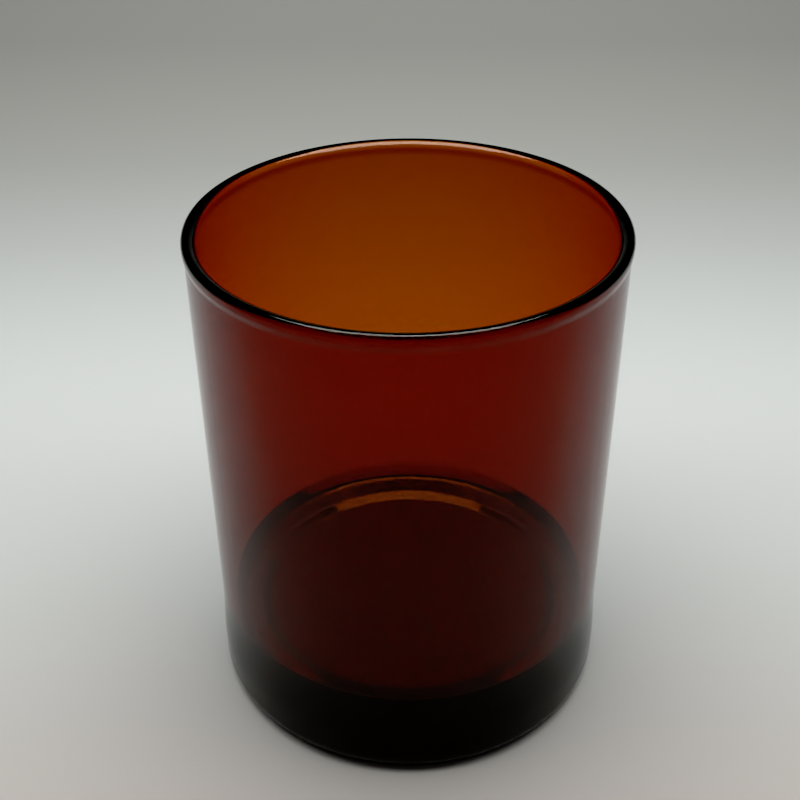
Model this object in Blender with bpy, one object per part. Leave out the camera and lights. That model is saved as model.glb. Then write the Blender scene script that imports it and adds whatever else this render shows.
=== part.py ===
"""Empty candle jar: one straight-sided, heavy-based tumbler of amber glass.

The whole jar is a single piece of glass turned about +Z. Its outline runs from the cavity
floor up the inner wall, over the fire-polished rim, down the outer wall, round the heel
and across the underside. The origin is the centre of the base, on the table.
"""

import math

import bmesh
import bpy
from mathutils import Matrix, Vector

# Driving dimensions, in metres.
HEIGHT = 0.0998  # table to the top of the rim
TOP_RADIUS = 0.0400  # outer wall just under the rim
WAIST_RADIUS = 0.0398  # outer wall where it is narrowest
WAIST_HEIGHT = 0.0200
BASE_RADIUS = 0.04025  # outer wall round the heavy base
BASE_BAND_TOP = 0.0070  # the base keeps its full radius up to here
HEEL_RADIUS = 0.0040  # rounding between the outer wall and the underside
WALL = 0.0023  # thickness of the side wall
RIM_PROUD = 0.0003  # how far the rim bead stands out of the outer wall
RIM_CREST_INSET = 0.0008  # the top of the rim lies this far inside its widest place
RIM_OUTER_DROP = 0.0012  # from the top of the rim down to its widest place
RIM_INNER_DROP = 0.0016  # from the top of the rim down to the straight inner wall
RIM_NECK_TOP = 0.0017  # from the top of the rim down to where it starts to ease into the wall
RIM_NECK_DROP = 0.0034  # from the top of the rim down to the plain outer wall
FLOOR_HEIGHT = 0.0136  # cavity floor above the table
FLOOR_RADIUS = 0.0298  # where the floor starts to rise
STEP_RADIUS = 0.0317  # top of the low step round the floor
STEP_HEIGHT = 0.0149
LEDGE_RADIUS = 0.0360  # outer edge of the ledge between the step and the wall
LEDGE_HEIGHT = 0.0156
FILLET_TOP = 0.0190  # where the ledge's slope meets the inner wall
FLOOR_ROUNDING = 0.0015  # rounding at the edge of the floor
STEP_ROUNDING = 0.0010
LEDGE_ROUNDING = 0.0020
FILLET_ROUNDING = 0.0020
PUSH_UP_RADIUS = 0.0310  # shallow dome under the base
PUSH_UP_DEPTH = 0.0015

# How finely the outline is divided.
TURN_STEPS = 96  # flat strips round the jar
ARC_STEP = math.radians(18)  # turn between two points of an arc
EASE_POINTS = 5  # points in the swell between waist and base
NECK_POINTS = 4  # points in the ease between the rim and the plain outer wall
CORNER_POINTS = 3  # steps in the rounding of a corner of the cavity floor
DOME_POINTS = 6  # points from the edge of the push-up to its middle

AMBER = (0.36, 0.085, 0.012, 1.0)


def bow(centre, across, up, start, end):
    """Points (r, z) on an ellipse about centre, from angle start to angle end in degrees."""
    sweep = math.radians(end - start)
    count = max(2, math.ceil(abs(sweep) / ARC_STEP))
    angles = [math.radians(start) + sweep * i / count for i in range(count + 1)]
    return [(centre[0] + across * math.cos(a), centre[1] + up * math.sin(a)) for a in angles]


def rounded(before, corner, after, radius):
    """The corner between two straight runs, replaced by an arc of the given radius."""
    corner = Vector(corner)
    back = (Vector(before) - corner).normalized()
    ahead = (Vector(after) - corner).normalized()
    half = back.angle(ahead) / 2
    centre = corner + (back + ahead).normalized() * radius / math.sin(half)
    start = corner + back * radius / math.tan(half) - centre
    turn = start.angle_signed(corner + ahead * radius / math.tan(half) - centre)
    points = []
    for i in range(CORNER_POINTS + 1):
        spoke = start.copy()
        spoke.rotate(Matrix.Rotation(-turn * i / CORNER_POINTS, 2))
        points.append(tuple(centre + spoke))
    return points


def eased(start, end, count):
    """Points from start to end, their radius on a smooth step, so both ends run straight up."""
    points = []
    for i in range(1, count + 1):
        t = i / count
        smooth = t * t * (3 - 2 * t)
        radius = start[0] + (end[0] - start[0]) * smooth
        points.append((radius, start[1] + (end[1] - start[1]) * t))
    return points


def floor_outline():
    """The flat floor, the low step round it, the ledge and the fillet up into the inner wall."""
    inner_radius = WAIST_RADIUS - WALL
    middle = (0.0, FLOOR_HEIGHT)
    floor_edge = (FLOOR_RADIUS, FLOOR_HEIGHT)
    step_top = (STEP_RADIUS, STEP_HEIGHT)
    ledge_edge = (LEDGE_RADIUS, LEDGE_HEIGHT)
    wall_foot = (inner_radius, FILLET_TOP)
    wall_above = (inner_radius, HEIGHT)
    return (
        rounded(middle, floor_edge, step_top, FLOOR_ROUNDING)
        + rounded(floor_edge, step_top, ledge_edge, STEP_ROUNDING)
        + rounded(step_top, ledge_edge, wall_foot, LEDGE_ROUNDING)
        + rounded(ledge_edge, wall_foot, wall_above, FILLET_ROUNDING)
    )


def rim_outline():
    """Up the inner wall, over the rounded rim and down its outer side to the plain wall."""
    inner_radius = TOP_RADIUS - WALL
    widest = TOP_RADIUS + RIM_PROUD
    crest_radius = widest - RIM_CREST_INSET
    inner = bow((crest_radius, HEIGHT - RIM_INNER_DROP), crest_radius - inner_radius, RIM_INNER_DROP, 180, 90)
    outer = bow((crest_radius, HEIGHT - RIM_OUTER_DROP), RIM_CREST_INSET, RIM_OUTER_DROP, 90, 0)
    neck_start = (widest, HEIGHT - RIM_NECK_TOP)
    neck = eased(neck_start, (TOP_RADIUS, HEIGHT - RIM_NECK_DROP), NECK_POINTS)
    return inner + outer[1:] + [neck_start] + neck


def base_outline():
    """Down the outer wall through the waist and the swell, round the heel to the underside."""
    waist = (WAIST_RADIUS, WAIST_HEIGHT)
    band = (BASE_RADIUS, BASE_BAND_TOP)
    heel_centre = (BASE_RADIUS - HEEL_RADIUS, HEEL_RADIUS)
    return [waist] + eased(waist, band, EASE_POINTS) + bow(heel_centre, HEEL_RADIUS, HEEL_RADIUS, 0, -90)


def push_up_outline():
    """A shallow dome under the base, from the bearing ring to the axis."""
    points = []
    for i in range(DOME_POINTS + 1):
        share = 1 - i / DOME_POINTS
        points.append((PUSH_UP_RADIUS * share, PUSH_UP_DEPTH * (1 - share * share)))
    return points


def turned(name, outline):
    """An object made by turning the outline about +Z, its flat first end closed by one face."""
    shape = bmesh.new()
    points = [shape.verts.new((r, 0, z)) for r, z in outline]
    edges = [shape.edges.new(pair) for pair in zip(points, points[1:])]
    bmesh.ops.spin(
        shape,
        geom=points + edges,
        cent=(0, 0, 0),
        axis=(0, 0, 1),
        angle=2 * math.pi,
        steps=TURN_STEPS,
        use_merge=True,
    )
    bmesh.ops.remove_doubles(shape, verts=shape.verts, dist=1e-6)
    open_edges = [edge for edge in shape.edges if edge.is_boundary]
    bmesh.ops.contextual_create(shape, geom=open_edges)
    bmesh.ops.recalc_face_normals(shape, faces=shape.faces)
    mesh = bpy.data.meshes.new(name)
    shape.to_mesh(mesh)
    shape.free()
    mesh.shade_smooth()
    mesh.set_sharp_from_angle(angle=math.radians(40))
    jar = bpy.data.objects.new(name, mesh)
    bpy.context.scene.collection.objects.link(jar)
    return jar


def amber_glass():
    """Clear amber glass with a polished surface."""
    material = bpy.data.materials.new("amber_glass")
    material.use_nodes = True
    shader = material.node_tree.nodes["Principled BSDF"]
    shader.inputs["Base Color"].default_value = AMBER
    shader.inputs["Metallic"].default_value = 0.0
    shader.inputs["Roughness"].default_value = 0.03
    shader.inputs["IOR"].default_value = 1.52
    shader.inputs["Transmission Weight"].default_value = 1.0
    return material


def main():
    for old in list(bpy.data.objects):
        bpy.data.objects.remove(old)
    outline = floor_outline() + rim_outline() + base_outline() + push_up_outline()
    jar = turned("glass_jar", outline)
    jar.data.materials.append(amber_glass())


main()
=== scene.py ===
"""Amber glass candle jar, with a pale table and soft light from above to look at it by.

The jar is one surface of revolution: a smooth outline carried round the upright axis. The
outline runs from the middle of the cavity floor, up the inner wall, over the polished rim,
down the outer wall, round the heel and under the base to the axis again. The glass is
clear and coloured through its whole thickness, so thick places are darker than thin ones.
The outline of the cavity floor, the underside and the wall's thickness are estimates.
"""

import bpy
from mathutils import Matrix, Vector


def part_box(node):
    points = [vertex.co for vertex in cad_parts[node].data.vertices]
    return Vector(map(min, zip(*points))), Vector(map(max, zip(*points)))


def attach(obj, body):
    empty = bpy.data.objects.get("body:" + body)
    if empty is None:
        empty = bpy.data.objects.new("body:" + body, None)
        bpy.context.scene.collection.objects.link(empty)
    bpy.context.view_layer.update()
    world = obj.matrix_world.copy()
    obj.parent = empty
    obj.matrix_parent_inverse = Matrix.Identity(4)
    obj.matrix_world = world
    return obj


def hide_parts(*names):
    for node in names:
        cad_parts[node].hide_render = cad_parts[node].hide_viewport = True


bl_info = {
    "name": "Amber Candle Jar",
    "version": (1, 0, 0),
    "blender": (4, 5, 0),
    "location": "View3D > Sidebar > Candle Jar",
    "description": "Builds an amber glass candle jar and the table it is looked at on",
    "category": "Add Mesh",
}

import math

import bpy
import numpy as np
from bpy.props import FloatProperty, FloatVectorProperty, IntProperty, PointerProperty
from mathutils import Matrix, Vector

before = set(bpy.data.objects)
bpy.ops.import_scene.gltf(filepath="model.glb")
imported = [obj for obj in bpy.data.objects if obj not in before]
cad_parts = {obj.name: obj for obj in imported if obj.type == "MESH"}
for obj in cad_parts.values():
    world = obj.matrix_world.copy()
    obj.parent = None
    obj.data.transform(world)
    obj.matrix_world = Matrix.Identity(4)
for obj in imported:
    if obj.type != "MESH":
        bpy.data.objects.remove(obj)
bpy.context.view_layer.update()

CAD_NODE = "glass_jar"
CAD_LOW, CAD_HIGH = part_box(CAD_NODE)
JAR_HEIGHT = CAD_HIGH[2] - CAD_LOW[2]
RIM_RADIUS = (CAD_HIGH[0] - CAD_LOW[0]) / 2

SAME_POINT = 1e-7  # points of an outline nearer than this are one point
CORNER_POINTS = 16  # points in each rounding of the cavity floor
FLOOR_SPACING = 0.0018  # longest piece of the straight runs inside the jar


# ---------------------------------------------------------------- sizes and colours


class JarSizes(bpy.types.PropertyGroup):
    """Sizes of the turned outline."""

    height: FloatProperty(
        name="Height",
        description="From the table to the top of the rim",
        default=JAR_HEIGHT,
        unit="LENGTH",
    )
    rim_radius: FloatProperty(
        name="Rim radius",
        description="Outside of the rim bead, the widest place of the jar",
        default=RIM_RADIUS,
        unit="LENGTH",
    )
    rim_proud: FloatProperty(
        name="Rim stands out",
        description="How far the rim stands out of the outer wall",
        default=0.0003,
        unit="LENGTH",
    )
    crest_inset: FloatProperty(
        name="Crest inset",
        description="How far inside its widest place the rim is highest",
        default=0.0008,
        unit="LENGTH",
    )
    outer_drop: FloatProperty(
        name="Outer drop",
        description="From the top of the rim down to its widest place",
        default=0.0012,
        unit="LENGTH",
    )
    inner_drop: FloatProperty(
        name="Inner drop",
        description="From the top of the rim down to the straight inner wall",
        default=0.0016,
        unit="LENGTH",
    )
    neck_top: FloatProperty(
        name="Neck top",
        description="From the top of the rim down to where the rim starts to ease into the outer wall",
        default=0.0017,
        unit="LENGTH",
    )
    neck_drop: FloatProperty(
        name="Neck drop",
        description="From the top of the rim down to the plain outer wall",
        default=0.0034,
        unit="LENGTH",
    )
    wall: FloatProperty(
        name="Wall",
        description="Thickness of the side wall",
        default=0.0023,
        unit="LENGTH",
    )
    waist_inset: FloatProperty(
        name="Waist inset",
        description="How much narrower the waist is than the wall under the rim",
        default=0.0002,
        unit="LENGTH",
    )
    waist_height: FloatProperty(
        name="Waist height",
        description="Height of the narrowest place of the outer wall",
        default=0.0200,
        unit="LENGTH",
    )
    base_swell: FloatProperty(
        name="Base swell",
        description="How much wider the heavy base is than the wall under the rim",
        default=0.00025,
        unit="LENGTH",
    )
    base_band: FloatProperty(
        name="Base band",
        description="The base keeps its full radius up to this height",
        default=0.0070,
        unit="LENGTH",
    )
    heel: FloatProperty(
        name="Heel",
        description="Radius of the rounding between the outer wall and the underside",
        default=0.0040,
        unit="LENGTH",
    )
    floor_height: FloatProperty(
        name="Cavity floor",
        description="Height of the cavity floor above the table",
        default=0.0136,
        unit="LENGTH",
    )
    floor_radius: FloatProperty(
        name="Floor radius",
        description="Radius at which the cavity floor starts to rise",
        default=0.0298,
        unit="LENGTH",
    )
    step_radius: FloatProperty(
        name="Step radius",
        description="Radius of the top of the low step round the floor",
        default=0.0317,
        unit="LENGTH",
    )
    step_height: FloatProperty(
        name="Step height",
        description="Height of the top of the low step above the table",
        default=0.0149,
        unit="LENGTH",
    )
    ledge_radius: FloatProperty(
        name="Ledge radius",
        description="Radius of the outer edge of the ledge between the step and the wall",
        default=0.0360,
        unit="LENGTH",
    )
    ledge_height: FloatProperty(
        name="Ledge height",
        description="Height of the outer edge of the ledge above the table",
        default=0.0156,
        unit="LENGTH",
    )
    fillet_top: FloatProperty(
        name="Fillet top",
        description="Height at which the ledge's slope meets the inner wall",
        default=0.0190,
        unit="LENGTH",
    )
    floor_rounding: FloatProperty(
        name="Floor rounding",
        description="Radius of the rounding at the edge of the floor",
        default=0.0015,
        unit="LENGTH",
    )
    step_rounding: FloatProperty(
        name="Step rounding",
        description="Radius of the rounding on top of the step",
        default=0.0010,
        unit="LENGTH",
    )
    fillet_rounding: FloatProperty(
        name="Fillet rounding",
        description="Radius of the two roundings between the ledge and the wall",
        default=0.0020,
        unit="LENGTH",
    )
    push_up: FloatProperty(
        name="Push-up",
        description="Depth of the shallow dome under the base",
        default=0.0015,
        unit="LENGTH",
    )
    push_up_radius: FloatProperty(
        name="Push-up radius",
        description="Radius of the shallow dome under the base",
        default=0.0310,
        unit="LENGTH",
    )
    waviness: FloatProperty(
        name="Waviness",
        description="How far the drawn glass wanders in and out of true",
        default=0.00002,
        unit="LENGTH",
    )
    strips: IntProperty(
        name="Strips",
        description="Strips round the jar",
        default=288,
        min=48,
    )


class GlassLook(bpy.types.PropertyGroup):
    """Colour and clearness of the glass."""

    absorbed: FloatVectorProperty(
        name="Absorbed",
        description="Share of red, green and blue light taken out, per metre of glass",
        default=(335.0, 880.0, 2000.0),
        size=3,
    )
    cord: FloatVectorProperty(
        name="Cord tint",
        description="Tint of the faint streaks in the glass, white being none",
        default=(0.985, 0.97, 0.95),
        subtype="COLOR",
        size=3,
    )
    unevenness: FloatProperty(
        name="Unevenness",
        description="Strength of the ripples, a tenth of a millimetre high, in the skin of the glass",
        default=0.04,
    )
    bend: FloatProperty(
        name="Index of refraction",
        description="How strongly the glass bends light",
        default=1.52,
    )


class StageLook(bpy.types.PropertyGroup):
    """The table, its backdrop and the lights."""

    # Painted shade: the table is coloured darker in front of the jar, where less light falls.
    paper_front_painted_shade: FloatVectorProperty(
        name="Front paper",
        description="Colour of the table in front of the jar",
        default=(0.345, 0.330, 0.319),
        subtype="COLOR",
        size=3,
    )
    # The palest place of the pool of light painted on the table.
    paper: FloatVectorProperty(
        name="Paper",
        description="Colour of the table just behind the jar, where it is palest",
        default=(0.380, 0.398, 0.395),
        subtype="COLOR",
        size=3,
    )
    # Painted shade: the backdrop is coloured darker well behind the jar, away from the light.
    paper_far_painted_shade: FloatVectorProperty(
        name="Far paper",
        description="Colour of the backdrop well behind the jar",
        default=(0.262, 0.266, 0.250),
        subtype="COLOR",
        size=3,
    )
    glow: FloatProperty(
        name="Panel glow",
        description="Brightness of the light panel overhead, a white table in it being 1",
        default=2.38,
    )
    soft_box: FloatProperty(
        name="Soft box",
        description="Brightness of the soft box in front, compared with the panel",
        default=2.5,
    )
    room: FloatProperty(
        name="Room",
        description="Brightness of the room round the table",
        default=0.25,
    )
    panel_width: FloatProperty(
        name="Panel width",
        description="Width of the overhead light panel",
        default=0.85,
        unit="LENGTH",
    )
    panel_depth: FloatProperty(
        name="Panel depth",
        description="Length of the overhead light panel from front to back",
        default=0.75,
        unit="LENGTH",
    )
    panel_front: FloatProperty(
        name="Panel front",
        description="How far the panel reaches in front of the jar's axis",
        default=0.14,
        unit="LENGTH",
    )
    panel_height: FloatProperty(
        name="Panel height",
        description="Height of the light panel above the table",
        default=0.40,
        unit="LENGTH",
    )


# ---------------------------------------------------------------- outlines


def arc(centre, radius, start, end, count):
    """Points centre + radius * (cos a, sin a), with a running evenly from start to end degrees.

    The radius may be a pair, across and up, which makes a piece of an ellipse.
    """
    angle = np.radians(np.linspace(start, end, count))
    return np.asarray(centre) + np.asarray(radius) * np.stack([np.cos(angle), np.sin(angle)], 1)


def straight(start, end, count):
    """Points at even steps on the straight line from start to end."""
    share = np.linspace(0.0, 1.0, count)[:, None]
    return np.asarray(start) * (1 - share) + np.asarray(end) * share


def eased(start, end, count):
    """Even steps in height, the radius on a smooth step 3t^2 - 2t^3, so both ends run straight up."""
    share = np.linspace(0.0, 1.0, count)
    smooth = share * share * (3 - 2 * share)
    radius = start[0] + (end[0] - start[0]) * smooth
    return np.stack([radius, start[1] + (end[1] - start[1]) * share], 1)


def rounded(corners, radii, count):
    """Straight runs between corners (r, z), with every inner corner replaced by an arc of its radius.

    With the half angle h at a corner, the arc touches both runs at radius / tan h from the corner
    and its middle lies at radius / sin h along the line that halves the corner.
    """
    corners = np.asarray(corners, float)
    stretches = [corners[:1]]
    for before, corner, after, radius in zip(corners, corners[1:], corners[2:], radii):
        back = (before - corner) / np.linalg.norm(before - corner)
        ahead = (after - corner) / np.linalg.norm(after - corner)
        half = math.acos(float(back @ ahead)) / 2
        middle = corner + (back + ahead) / np.linalg.norm(back + ahead) * radius / math.sin(half)
        first = corner + back * radius / math.tan(half) - middle
        last = corner + ahead * radius / math.tan(half) - middle
        turn = math.atan2(first[0] * last[1] - first[1] * last[0], float(first @ last))
        start = math.atan2(first[1], first[0])
        stretches.append(arc(middle, radius, math.degrees(start), math.degrees(start + turn), count))
    stretches.append(corners[-1:])
    return np.concatenate(stretches)


def filled(points, spacing):
    """The same outline with every long straight run cut into pieces no longer than the spacing."""
    stretches = []
    for start, end in zip(points, points[1:]):
        pieces = max(1, math.ceil(np.linalg.norm(end - start) / spacing))
        stretches.append(straight(start, end, pieces + 1))
    return joined(*stretches)


def joined(*stretches):
    """The stretches in a row as one outline, without the points that they share."""
    points = np.concatenate(stretches)
    step = np.linalg.norm(np.diff(points, axis=0), axis=1)
    return points[np.concatenate([[True], step > SAME_POINT])]


def floor_outline(sizes, inner_radius, top):
    """From the middle of the cavity floor over the low step and the ledge, and up the inner wall."""
    corners = (
        (0.0, sizes.floor_height),
        (sizes.floor_radius, sizes.floor_height),
        (sizes.step_radius, sizes.step_height),
        (sizes.ledge_radius, sizes.ledge_height),
        (inner_radius, sizes.fillet_top),
        top,
    )
    radii = (sizes.floor_rounding, sizes.step_rounding, sizes.fillet_rounding, sizes.fillet_rounding)
    return filled(rounded(corners, radii, CORNER_POINTS), FLOOR_SPACING)


def rim_outline(sizes, inner_radius, wall_radius):
    """Up the inner side of the rim, over its crest and down the outer side into the plain wall."""
    widest, top = sizes.rim_radius, sizes.height
    crest = widest - sizes.crest_inset
    inner_middle, outer_middle = (crest, top - sizes.inner_drop), (crest, top - sizes.outer_drop)
    inner = arc(inner_middle, (crest - inner_radius, sizes.inner_drop), 180, 90, 32)
    outer = arc(outer_middle, (sizes.crest_inset, sizes.outer_drop), 90, 0, 28)
    neck = eased((widest, top - sizes.neck_top), (wall_radius, top - sizes.neck_drop), 24)
    return joined(inner, outer, neck)


def jar_outline(sizes):
    """The whole outline (r, z), from the middle of the cavity floor to the middle of the underside."""
    wall_top = sizes.rim_radius - sizes.rim_proud
    waist = wall_top - sizes.waist_inset
    base = wall_top + sizes.base_swell
    inner_top = wall_top - sizes.wall
    rim = rim_outline(sizes, inner_top, wall_top)
    inside = floor_outline(sizes, waist - sizes.wall, tuple(rim[0]))
    outer_wall = straight(rim[-1], (waist, sizes.waist_height), 48)
    swell = eased((waist, sizes.waist_height), (base, sizes.base_band), 24)
    band = straight((base, sizes.base_band), (base, sizes.heel), 6)
    heel = arc((base - sizes.heel, sizes.heel), sizes.heel, 0, -90, 24)
    share = np.linspace(1.0, 0.0, 30)
    dome = np.stack([sizes.push_up_radius * share, sizes.push_up * (1 - share**2)], 1)
    ring = straight(heel[-1], dome[0], 4)
    return joined(inside, rim, outer_wall, swell, band, heel, ring, dome)


# ---------------------------------------------------------------- surfaces


def wander(angle, height, sizes):
    """How far the glass stands out of true: a few slow waves round the jar, leaning with height.

    The sum of sin(k a + c z + p) over the waves, faded out before the table and before the rim.
    """
    waves = ((2, 30.0, 0.4), (3, -45.0, 1.9), (5, 70.0, 3.1), (8, -110.0, 5.2))
    total = sum(np.sin(turns * angle + lean * height + phase) for turns, lean, phase in waves)
    share = np.clip(height / sizes.height, 0.0, 1.0)
    still_ends = 0.2
    fade = np.clip(4 * share * (1 - share) - still_ends, 0.0, 1.0)
    return sizes.waviness * fade * total / len(waves)


def turned_surface(outline, sizes):
    """Vertices and faces of the outline carried round the axis: (r cos a, r sin a, z) over the angle a.

    The rows are the outline's points between the two poles and the columns are the strips.
    Each pole is one vertex, joined to its neighbouring row by a fan of triangles.
    """
    rows, strips = len(outline) - 2, sizes.strips
    angle = np.linspace(0.0, 2 * math.pi, strips, endpoint=False)[None, :]
    radius, height = outline[1:-1, 0:1], outline[1:-1, 1:2]
    radius = radius + wander(angle, height, sizes) * np.minimum(1.0, radius / sizes.rim_radius)
    height = height + 0.0 * angle
    grid = np.stack([radius * np.cos(angle), radius * np.sin(angle), height], -1).reshape(-1, 3)
    poles = np.array([[0.0, 0.0, outline[0, 1]], [0.0, 0.0, outline[-1, 1]]])
    vertices = np.concatenate([grid, poles])
    row, column = np.meshgrid(np.arange(rows - 1), np.arange(strips), indexing="ij")
    after = (column + 1) % strips
    below, above = row * strips, (row + 1) * strips
    quads = np.stack([below + column, below + after, above + after, above + column], -1).reshape(-1, 4)
    here, there = np.arange(strips), (np.arange(strips) + 1) % strips
    last = (rows - 1) * strips
    first_pole = np.full(strips, len(grid))
    fan_start = np.stack([first_pole, there, here], 1)
    fan_end = np.stack([first_pole + 1, last + here, last + there], 1)
    return vertices, quads[:, ::-1].tolist() + np.concatenate([fan_start, fan_end])[:, ::-1].tolist()


def object_from(name, vertices, faces):
    """A smooth-shaded object at the origin with this mesh."""
    mesh = bpy.data.meshes.new(name)
    mesh.from_pydata(vertices.tolist(), [], faces)
    mesh.update()
    mesh.shade_smooth()
    piece = bpy.data.objects.new(name, mesh)
    bpy.context.scene.collection.objects.link(piece)
    return piece


# ---------------------------------------------------------------- materials


def new_material(name):
    """A material with nodes, with its node tree and its Principled shader."""
    material = bpy.data.materials.new(name)
    material.use_nodes = True
    tree = material.node_tree
    return material, tree, tree.nodes["Principled BSDF"]


def amber_glass(look):
    """Glass that takes colour out of the light on its way through, with faint upright streaks."""
    cord_scale, cord_detail, cord_stretch, ripple_height = 60.0, 2.0, 0.3, 0.0001
    material, tree, shader = new_material("amber_glass")
    shader.inputs["Roughness"].default_value = 0.0
    shader.inputs["IOR"].default_value = look.bend
    shader.inputs["Transmission Weight"].default_value = 1.0
    place = tree.nodes.new("ShaderNodeTexCoord")
    stretch = tree.nodes.new("ShaderNodeMapping")
    stretch.inputs["Scale"].default_value = (1.0, 1.0, cord_stretch)
    cords = tree.nodes.new("ShaderNodeTexNoise")
    cords.inputs["Scale"].default_value = cord_scale
    cords.inputs["Detail"].default_value = cord_detail
    shades = tree.nodes.new("ShaderNodeMix")
    shades.data_type = "RGBA"
    shades.inputs["A"].default_value = (1.0, 1.0, 1.0, 1.0)
    shades.inputs["B"].default_value = (*look.cord, 1.0)
    skin = tree.nodes.new("ShaderNodeBump")
    skin.inputs["Strength"].default_value = look.unevenness
    skin.inputs["Distance"].default_value = ripple_height
    tree.links.new(place.outputs["Object"], stretch.inputs["Vector"])
    tree.links.new(stretch.outputs["Vector"], cords.inputs["Vector"])
    tree.links.new(cords.outputs["Fac"], shades.inputs["Factor"])
    tree.links.new(shades.outputs["Result"], shader.inputs["Base Color"])
    tree.links.new(cords.outputs["Fac"], skin.inputs["Height"])
    tree.links.new(skin.outputs["Normal"], shader.inputs["Normal"])
    strongest = max(look.absorbed)
    tint = tree.nodes.new("ShaderNodeVolumeAbsorption")
    tint.inputs["Density"].default_value = strongest
    tint.inputs["Color"].default_value = (*(1 - share / strongest for share in look.absorbed), 1.0)
    tree.links.new(tint.outputs["Volume"], tree.nodes["Material Output"].inputs["Volume"])
    return material


def table_paper(look):
    """Matt pale paper painted with a pool of light, palest just behind the jar, with painted shade towards
    the front and the back.

    Each stop is a place along Y, as a share of the way from near to far, a colour and its strength;
    together they paint the light and shade on the table.
    """
    near, far = -0.05, 0.45
    material, tree, shader = new_material("table_paper")
    shader.inputs["Roughness"].default_value = 0.8
    shader.inputs["Specular IOR Level"].default_value = 0.1
    place = tree.nodes.new("ShaderNodeTexCoord")
    split = tree.nodes.new("ShaderNodeSeparateXYZ")
    back = tree.nodes.new("ShaderNodeMapRange")
    back.inputs["From Min"].default_value = near
    back.inputs["From Max"].default_value = far
    # The ramp paints a pool of light on the table, with painted shade in front of the jar and towards the
    # back.
    shades = tree.nodes.new("ShaderNodeValToRGB")
    ramp = shades.color_ramp
    ramp.interpolation = "B_SPLINE"
    # The strengths shape the painted light: a little over 1 at the palest place, falling off towards the
    # back.
    painted_light_stops = (
        (0.00, look.paper_front_painted_shade, 1.0),
        (0.10, look.paper, 0.94),
        (0.20, look.paper, 0.95),
        (0.28, look.paper, 1.02),
        (0.38, look.paper, 0.92),
        (0.49, look.paper, 0.75),
        (0.64, look.paper_far_painted_shade, 0.88),
        (0.90, look.paper_far_painted_shade, 0.80),
    )
    ramp.elements[0].position = painted_light_stops[0][0]
    ramp.elements[1].position = painted_light_stops[-1][0]
    for place_along, _, _ in painted_light_stops[1:-1]:
        ramp.elements.new(place_along)
    for element, (_, colour, share) in zip(ramp.elements, painted_light_stops):
        element.color = (*(share * part for part in colour), 1.0)
    tree.links.new(place.outputs["Object"], split.inputs["Vector"])
    tree.links.new(split.outputs["Y"], back.inputs["Value"])
    tree.links.new(back.outputs["Result"], shades.inputs["Fac"])
    tree.links.new(shades.outputs["Color"], shader.inputs["Base Color"])
    return material


def lamp_glow(name, colour, strength):
    """A surface that only gives off light."""
    material = bpy.data.materials.new(name)
    material.use_nodes = True
    tree = material.node_tree
    tree.nodes.clear()
    glow = tree.nodes.new("ShaderNodeEmission")
    glow.inputs["Color"].default_value = (*colour, 1.0)
    glow.inputs["Strength"].default_value = strength
    output = tree.nodes.new("ShaderNodeOutputMaterial")
    tree.links.new(glow.outputs["Emission"], output.inputs["Surface"])
    return material


# ---------------------------------------------------------------- stage


def backdrop_mesh():
    """A table that curves up into a wall, drawn out along X.

    The profile (y, z) is a flat run, nearly a quarter of a circle and a leaning upright. It lies a
    tenth of a millimetre low, so that the jar's foot and the table never share a surface.
    """
    flat_end, bend, half_width, wall_top, front = 0.42, 0.25, 3.0, 1.6, -6.0
    table = straight((front, 0.0), (flat_end, 0.0), 12)
    lean, drop = 0.03, 0.0001
    curve = arc((flat_end, bend), bend, -90, -2, 25)
    upright = straight(curve[-1], (curve[-1, 0] + lean, wall_top), 6)
    profile = joined(table, curve, upright)
    across = np.linspace(-half_width, half_width, 9)
    x = np.broadcast_to(across, (len(profile), len(across)))
    y = np.broadcast_to(profile[:, 0:1], x.shape)
    z = np.broadcast_to(profile[:, 1:2] - drop, x.shape)
    vertices = np.stack([x, y, z], -1).reshape(-1, 3)
    row, column = np.meshgrid(np.arange(len(profile) - 1), np.arange(len(across) - 1), indexing="ij")
    corner = row * len(across) + column
    faces = np.stack([corner, corner + 1, corner + len(across) + 1, corner + len(across)], -1)
    return vertices, faces.reshape(-1, 4).tolist()


def soft_box_mesh(look):
    """The bright front part of the overhead light: one flat rectangle facing down, just under the panel."""
    side, back, gap = 0.20, 0.10, 0.002
    height = look.panel_height - gap
    corners = ((-side, -look.panel_front), (-side, back), (side, back), (side, -look.panel_front))
    vertices = np.array([(x, y, height) for x, y in corners])
    return vertices, [[0, 1, 2, 3]]


def add_panel(look):
    """The overhead light panel: it glows evenly downwards and is not seen mirrored in the glass."""
    light = bpy.data.lights.new("light_panel", "AREA")
    light.shape = "RECTANGLE"
    light.size = look.panel_width
    light.size_y = look.panel_depth
    light.energy = look.glow * math.pi * look.panel_width * look.panel_depth
    panel = bpy.data.objects.new("light_panel", light)
    panel.visible_glossy = False
    panel.location = (0.0, look.panel_depth / 2 - look.panel_front, look.panel_height)
    bpy.context.scene.collection.objects.link(panel)


def add_room(look):
    """An even grey room round the stage."""
    world = bpy.data.worlds.new("room")
    world.use_nodes = True
    background = world.node_tree.nodes["Background"]
    background.inputs["Color"].default_value = (1.0, 1.0, 1.0, 1.0)
    background.inputs["Strength"].default_value = look.room
    bpy.context.scene.world = world


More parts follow.
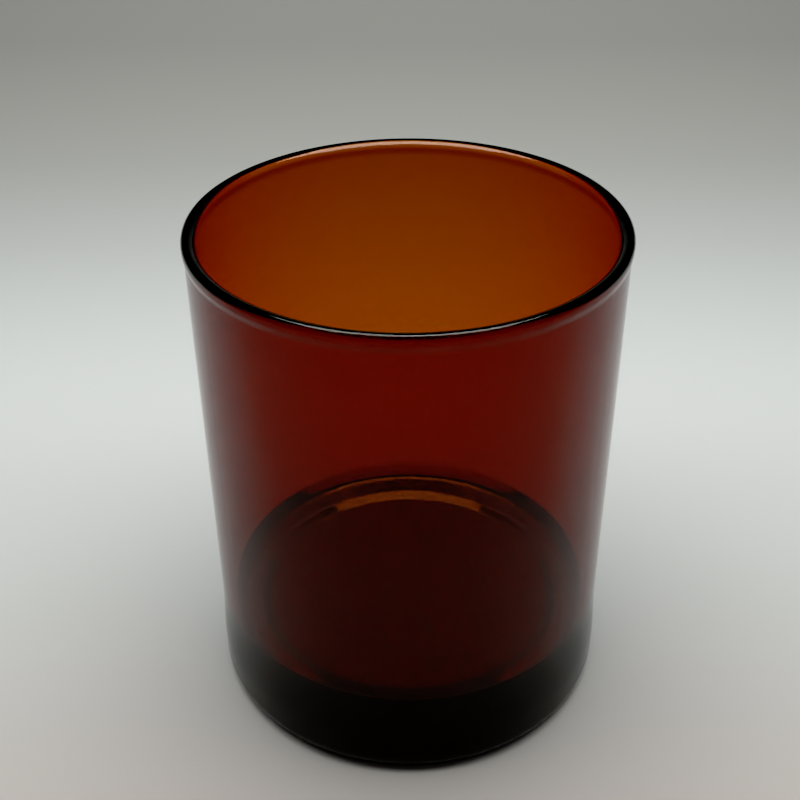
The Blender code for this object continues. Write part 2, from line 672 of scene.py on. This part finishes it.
def add_camera(sizes):
    """A camera in front of the jar and above it, looking down.

    It stands a number of wall radii back and up from the middle of the base. The turns are in radians.
    """
    reach = sizes.rim_radius - sizes.rim_proud
    radii_back, radii_up = 4.8945, 4.8111
    back, up = radii_back * reach, radii_up * reach
    pitch, yaw, roll = 0.5896, -0.0082, -0.0077
    ahead = Vector((math.sin(yaw) * math.cos(pitch), math.cos(yaw) * math.cos(pitch), -math.sin(pitch)))
    right = Vector((math.cos(yaw), -math.sin(yaw), 0.0))
    upward = right.cross(ahead)
    level = math.cos(roll) * right + math.sin(roll) * upward
    upright = math.cos(roll) * upward - math.sin(roll) * right
    lens = bpy.data.cameras.new("camera")
    lens.sensor_width = 36.0
    lens.lens = 54.0
    lens.clip_start = 0.01
    camera = bpy.data.objects.new("camera", lens)
    camera.matrix_world = Matrix((level, upright, -ahead)).transposed().to_4x4()
    camera.matrix_world.translation = Vector((0.0, -back, up))
    bpy.context.scene.collection.objects.link(camera)
    bpy.context.scene.camera = camera


def set_tone():
    """Plain sRGB with a short toe, which keeps near-black glass black."""
    combined = 3  # the curve for all three colours together
    settings = bpy.context.scene.view_settings
    settings.view_transform = "Standard"
    settings.use_curve_mapping = True
    curve = settings.curve_mapping.curves[combined]
    toe = ((0.031, 0.004), (0.06, 0.029), (0.12, 0.088), (0.25, 0.219), (0.5, 0.48))
    for dark_in, dark_out in toe:
        curve.points.new(dark_in, dark_out)
    settings.curve_mapping.update()


# ---------------------------------------------------------------- operators and panel


class CANDLEJAR_OT_glass_jar(bpy.types.Operator):
    """Build the jar and its glass"""

    bl_idname = "candlejar.glass_jar"
    bl_label = "Glass Jar"

    def execute(self, context):
        sizes, look = context.scene.candlejar_sizes, context.scene.candlejar_glass
        vertices, faces = turned_surface(jar_outline(sizes), sizes)
        jar = object_from("amber_jar", vertices, faces)
        jar.data.materials.append(amber_glass(look))
        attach(jar, "root")
        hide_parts(CAD_NODE)
        return {"FINISHED"}


class CANDLEJAR_OT_stage(bpy.types.Operator):
    """Set up the table, the lights, the room and the camera"""

    bl_idname = "candlejar.stage"
    bl_label = "Stage"

    def execute(self, context):
        sizes, look = context.scene.candlejar_sizes, context.scene.candlejar_stage
        table = object_from("table", *backdrop_mesh())
        table.data.materials.append(table_paper(look))
        soft_box = object_from("soft_box", *soft_box_mesh(look))
        soft_box.data.materials.append(lamp_glow("soft_glow", (1.0, 0.97, 0.92), look.soft_box * look.glow))
        add_panel(look)
        add_room(look)
        add_camera(sizes)
        set_tone()
        return {"FINISHED"}


class CANDLEJAR_PT_sidebar(bpy.types.Panel):
    """Lists what can be built"""

    bl_idname = "CANDLEJAR_PT_sidebar"
    bl_label = "Candle Jar"
    bl_space_type = "VIEW_3D"
    bl_region_type = "UI"
    bl_category = "Candle Jar"

    def draw(self, context):
        for operator in (CANDLEJAR_OT_glass_jar, CANDLEJAR_OT_stage):
            self.layout.operator(operator.bl_idname)


CLASSES = (
    JarSizes,
    GlassLook,
    StageLook,
    CANDLEJAR_OT_glass_jar,
    CANDLEJAR_OT_stage,
    CANDLEJAR_PT_sidebar,
)


def register():
    for entry in CLASSES:
        bpy.utils.register_class(entry)
    bpy.types.Scene.candlejar_sizes = PointerProperty(type=JarSizes)
    bpy.types.Scene.candlejar_glass = PointerProperty(type=GlassLook)
    bpy.types.Scene.candlejar_stage = PointerProperty(type=StageLook)


def unregister():
    del bpy.types.Scene.candlejar_stage
    del bpy.types.Scene.candlejar_glass
    del bpy.types.Scene.candlejar_sizes
    for entry in reversed(CLASSES):
        bpy.utils.unregister_class(entry)


def main():
    register()
    bpy.ops.candlejar.glass_jar()
    bpy.ops.candlejar.stage()


if __name__ == "__main__":
    main()
